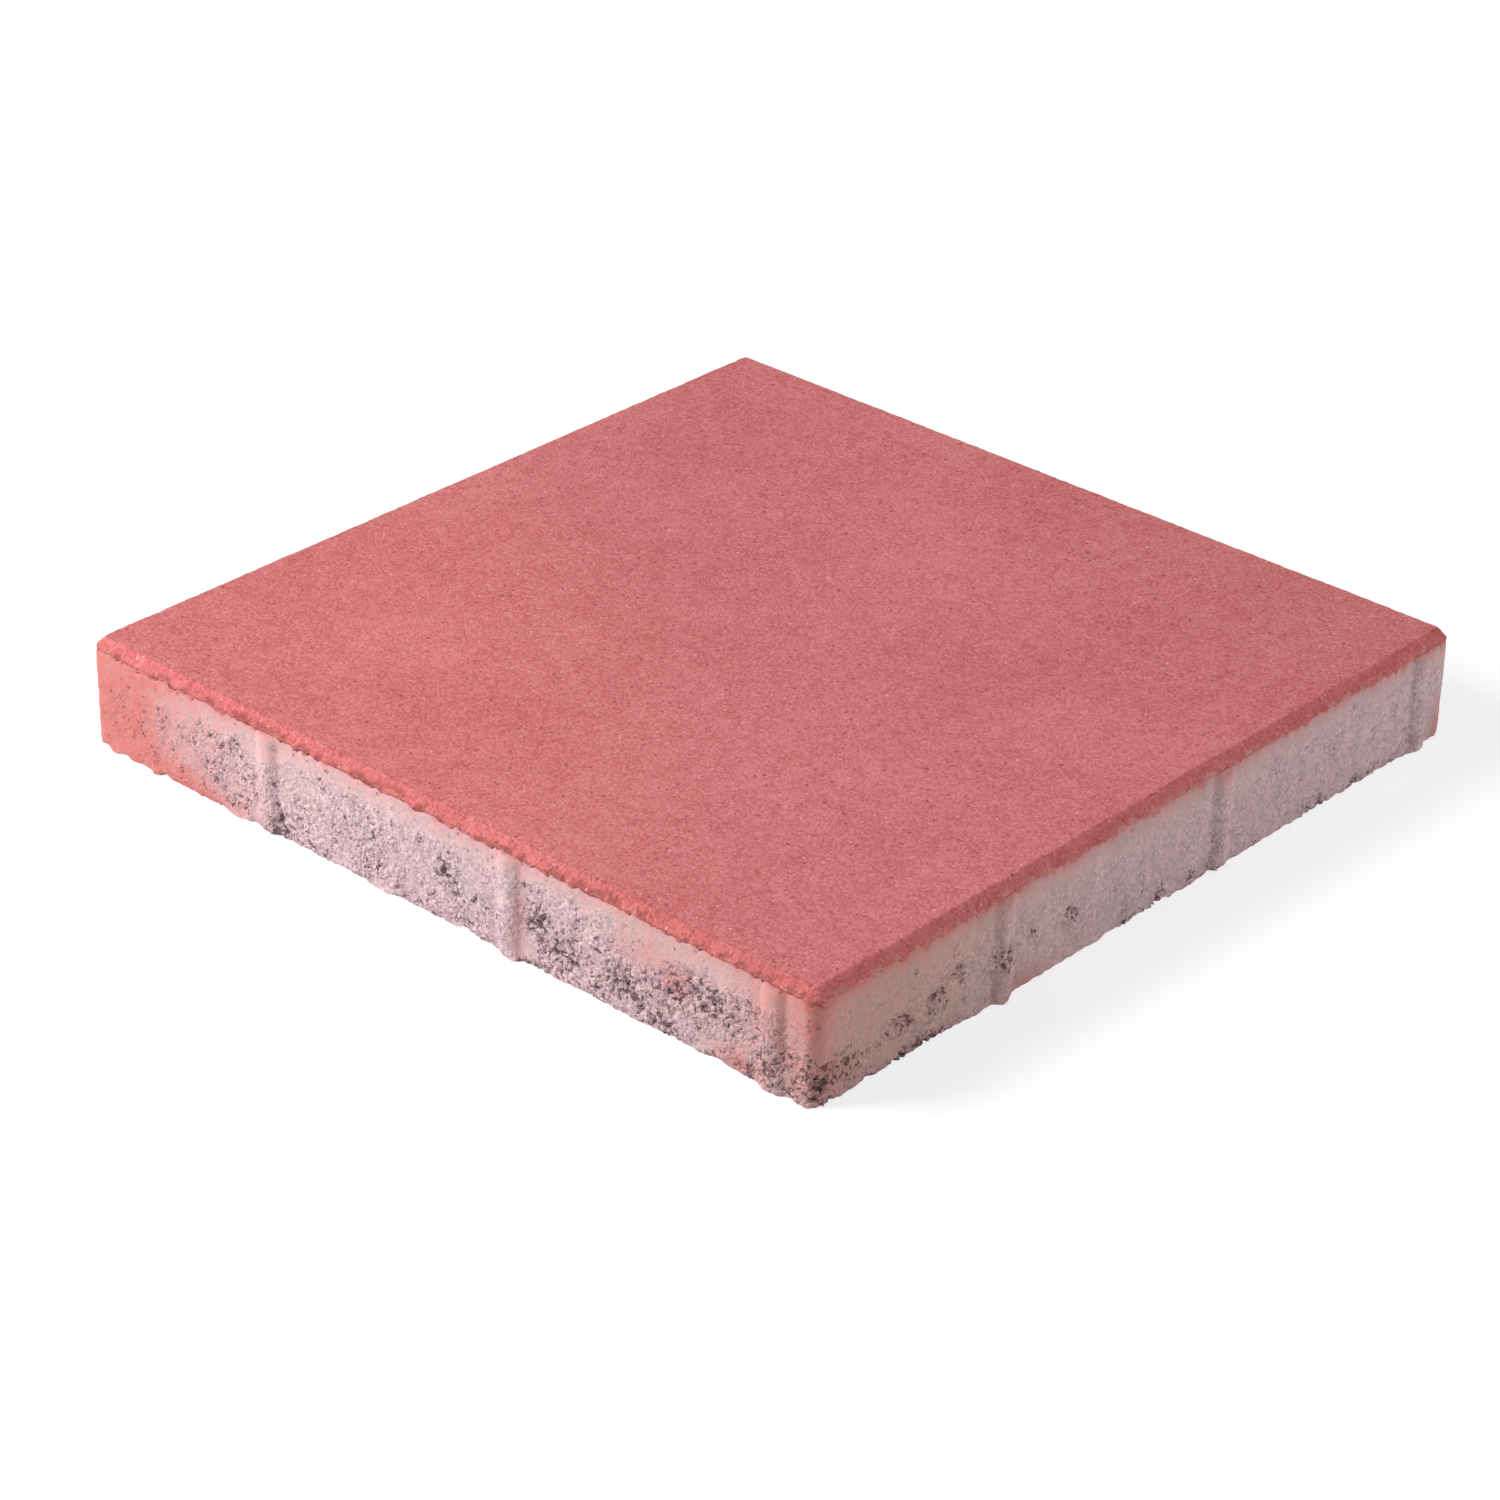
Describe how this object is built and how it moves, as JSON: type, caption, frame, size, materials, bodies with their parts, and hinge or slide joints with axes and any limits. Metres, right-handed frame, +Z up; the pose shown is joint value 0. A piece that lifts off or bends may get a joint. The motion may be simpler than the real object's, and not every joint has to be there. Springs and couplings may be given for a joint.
{
  "type": "concrete paving slab",
  "caption": "Square pressed concrete paving slab with a coloured facing, a bevelled walking face and upright spacer ribs on its sides.",
  "frame": {"origin": "centre of the underside, on the plane of the bed", "axes": "+Z up, out of the walking face; +X and +Y square to two of the four sides, which are alike"},
  "size_m": [0.402, 0.402, 0.05],
  "materials": {
    "concrete": "matt sandy concrete: red pigmented facing over paler, rougher backing concrete"
  },
  "bodies": {
    "root": {"paving_slab": "concrete"}
  },
  "joints": []
}
